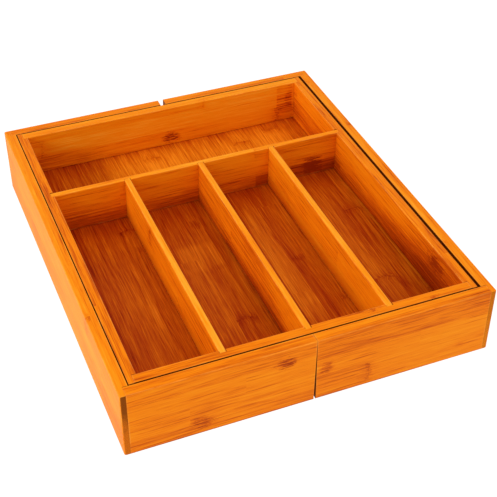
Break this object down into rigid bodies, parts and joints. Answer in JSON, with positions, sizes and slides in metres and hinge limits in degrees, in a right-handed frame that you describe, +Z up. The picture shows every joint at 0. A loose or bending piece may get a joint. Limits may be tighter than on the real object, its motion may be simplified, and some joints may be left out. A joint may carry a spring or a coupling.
{
  "type": "drawer organizer insert",
  "caption": "Expandable bamboo drawer organizer insert: a compartment tray between two U-shaped side wings that slide out on guide tongues to widen it.",
  "frame": {"origin": "middle of the underside of the closed organizer, on the drawer floor", "axes": "+Z up; the front, at the near ends of the long slots, is towards -Y; +X is to the right seen from the front; the wings slide out along -X and +X"},
  "size_m": [0.3386, 0.402, 0.0676],
  "materials": {
    "wing_wall_bamboo": "clear glossy varnish on laminated bamboo",
    "tray_wall_bamboo": "clear glossy varnish on laminated bamboo",
    "divider_bamboo": "clear glossy varnish on bamboo",
    "panel_bamboo": "clear satin varnish on strip bamboo",
    "raw_bamboo": "smooth unvarnished bamboo, waxed to run freely"
  },
  "bodies": {
    "tray": {"tray_front_wall": "tray_wall_bamboo", "tray_back_wall": "tray_wall_bamboo", "tray_left_wall": "tray_wall_bamboo", "tray_right_wall": "tray_wall_bamboo", "cross_divider": "divider_bamboo", "slot_divider_1": "divider_bamboo", "slot_divider_2": "divider_bamboo", "slot_divider_3": "divider_bamboo", "tray_bottom_panel": "panel_bamboo", "guide_tongue_front_left": "raw_bamboo", "guide_tongue_front_right": "raw_bamboo", "guide_tongue_back_left": "raw_bamboo", "guide_tongue_back_right": "raw_bamboo"},
    "left_wing": {"left_side_wall": "wing_wall_bamboo", "left_front_wall": "wing_wall_bamboo", "left_back_wall": "wing_wall_bamboo", "left_bottom_panel": "panel_bamboo", "left_front_stop_block": "raw_bamboo", "left_back_stop_block": "raw_bamboo"},
    "right_wing": {"right_side_wall": "wing_wall_bamboo", "right_front_wall": "wing_wall_bamboo", "right_back_wall": "wing_wall_bamboo", "right_bottom_panel": "panel_bamboo", "right_front_stop_block": "raw_bamboo", "right_back_stop_block": "raw_bamboo"}
  },
  "joints": [
    {"name": "left_wing_slide", "type": "slide", "parent": "tray", "child": "left_wing", "axis": [-1, 0, 0], "range_m": [0, 0.1]},
    {"name": "right_wing_slide", "type": "slide", "parent": "tray", "child": "right_wing", "axis": [1, 0, 0], "range_m": [0, 0.1]}
  ]
}
